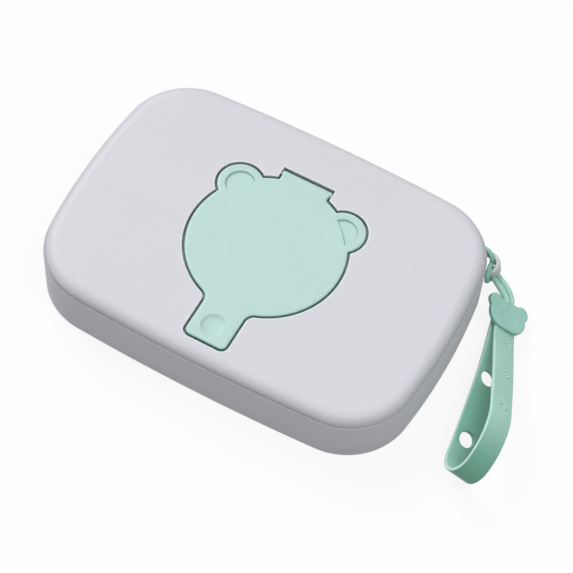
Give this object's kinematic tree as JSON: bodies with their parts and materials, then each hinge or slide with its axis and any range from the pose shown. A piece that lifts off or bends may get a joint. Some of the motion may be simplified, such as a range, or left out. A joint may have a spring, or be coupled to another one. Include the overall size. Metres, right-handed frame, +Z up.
{
  "type": "wet wipes travel case",
  "caption": "Flat refillable wipes case with rounded corners, a hinged cover, a flush flip lid shaped like a bear's head and a soft wrist strap.",
  "frame": {"origin": "middle of the flat underside of the case, between its two long sides and its two short sides; the strap isn't counted", "axes": "+X along the case's length, towards the side with the strap; +Y from the thumb tab to the hinges; +Z up, out of the lid"},
  "size_m": [0.2327, 0.1357, 0.031],
  "materials": {
    "lilac_shell": "fine matte grain, moulded plastic",
    "mint_lid": "fine matte grain, moulded plastic",
    "white_plastic": "smooth moulded plastic",
    "mint_silicone": "soft satin silicone",
    "seal_silicone": "soft satin silicone",
    "steel_pin": "plain drawn steel"
  },
  "bodies": {
    "base": {"base_tray": "lilac_shell", "hinge_pin_left": "steel_pin", "hinge_pin_right": "steel_pin", "strap_lug": "white_plastic", "strap_hitch": "mint_silicone"},
    "cover": {"top_cover": "lilac_shell", "orifice_ring": "white_plastic", "orifice_lips": "mint_silicone", "lid_pin": "steel_pin"},
    "lid": {"flip_lid": "mint_lid", "lid_seal": "seal_silicone"},
    "strap": {"strap_cord": "mint_silicone", "strap_stud": "mint_silicone", "strap_band": "mint_silicone"}
  },
  "joints": [
    {"name": "cover_hinge", "type": "hinge", "parent": "base", "child": "cover", "pos_m": [0, 0.0665, 0.021], "axis": [-1, 0, 0], "range_deg": [0, 120]},
    {"name": "lid_hinge", "type": "hinge", "parent": "cover", "child": "lid", "pos_m": [0, 0.0394, 0.0291], "axis": [-1, 0, 0], "range_deg": [0, 100]},
    {"name": "strap_swing", "type": "hinge", "parent": "base", "child": "strap", "pos_m": [0.0912, 0.05361, 0.0102], "axis": [0, 0, 1], "range_deg": [0, 110]}
  ]
}
